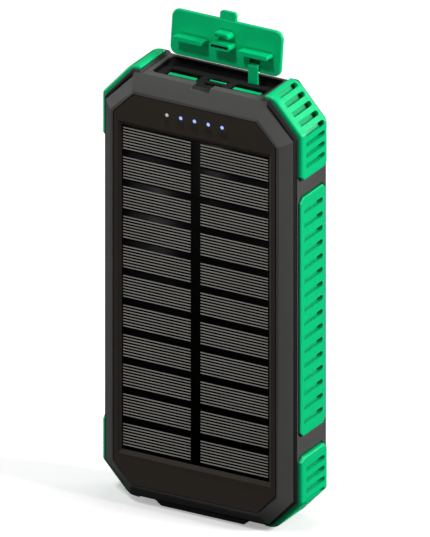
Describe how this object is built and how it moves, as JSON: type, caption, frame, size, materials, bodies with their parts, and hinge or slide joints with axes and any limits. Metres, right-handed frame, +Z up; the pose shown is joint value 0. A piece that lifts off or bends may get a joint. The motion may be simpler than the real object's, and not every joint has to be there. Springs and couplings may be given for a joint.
{
  "type": "solar phone charger",
  "caption": "Rugged upright solar power bank with a cell-covered front, rubber corner bumpers and grips, and a hinged port flap on a pull-out tether.",
  "frame": {"origin": "middle of the flat face of the bottom foot", "axes": "+Z up, the solar cells face -Y, +X to the right as seen from the front"},
  "size_m": [0.0812, 0.0268, 0.1869],
  "materials": {
    "shell_plastic": "fine matte grain",
    "panel_plastic": "smooth matte, dark brown black",
    "seam_rubber": "dull black",
    "lens_white": "frosted",
    "lens_blue": "frosted, lit pale blue",
    "solar_resin": "clear resin over black",
    "cell_silicon": "black silicon under resin",
    "inner_plastic": "matte black",
    "screw_steel": "zinc plated",
    "port_steel": "blackened steel",
    "port_green": "satin green",
    "green_rubber": "satin green",
    "pin_green": "satin green",
    "button_rubber": "matte",
    "switch_plastic": "matte black",
    "circuit_board": "solder mask",
    "led_plastic": "clear",
    "chip_plastic": "matte black",
    "battery_foil": "satin pouch film",
    "foam": "soft foam",
    "wire_plastic": "silicone wire",
    "foot_plastic": "matte dark"
  },
  "bodies": {
    "housing": {"front_bezel": "shell_plastic", "seam_gasket": "seam_rubber", "front_panel": "panel_plastic", "charging_lens": "lens_white", "level_lenses": "lens_blue", "solar_laminate": "solar_resin", "solar_cells": "cell_silicon", "rear_shell": "shell_plastic", "panel_carrier": "inner_plastic", "case_screws": "screw_steel", "top_plate": "shell_plastic", "port_bay_floor": "inner_plastic", "usb_a_shells": "port_steel", "usb_a_tongue_left": "port_green", "usb_a_tongue_right": "port_green", "usb_c_shell": "port_steel", "usb_c_tongue": "port_green", "micro_usb_shell": "port_steel", "micro_usb_tongue": "inner_plastic", "bumper_top_right": "green_rubber", "bumper_top_left": "green_rubber", "bumper_bottom_right": "green_rubber", "bumper_bottom_left": "green_rubber", "right_grip": "green_rubber", "left_grip": "green_rubber", "tact_switch": "switch_plastic", "switch_board": "circuit_board", "main_board": "circuit_board", "charge_board": "circuit_board", "light_board": "circuit_board", "indicator_leds": "led_plastic", "board_chips": "chip_plastic", "battery_cell_front": "battery_foil", "battery_cell_rear": "battery_foil", "battery_tape": "foam", "rear_foam_pad": "foam", "battery_leads": "wire_plastic", "solar_leads": "wire_plastic", "bottom_foot": "foot_plastic"},
    "tether": {"flap_tether": "green_rubber"},
    "flap": {"port_flap": "green_rubber", "flap_pin": "pin_green"},
    "button": {"power_button": "button_rubber"}
  },
  "joints": [
    {"name": "tether_slide", "type": "slide", "parent": "housing", "child": "tether", "axis": [0, 0, 1], "range_m": [-0.0056, 0]},
    {"name": "flap_hinge", "type": "hinge", "parent": "tether", "child": "flap", "pos_m": [0.012, 0.0093, 0.1697], "axis": [1, 0, 0], "range_deg": [0, 96.5]},
    {"name": "power_button_press", "type": "slide", "parent": "housing", "child": "button", "axis": [1, 0, 0], "range_m": [0, 0.0004], "stiffness_N_per_m": 800}
  ]
}
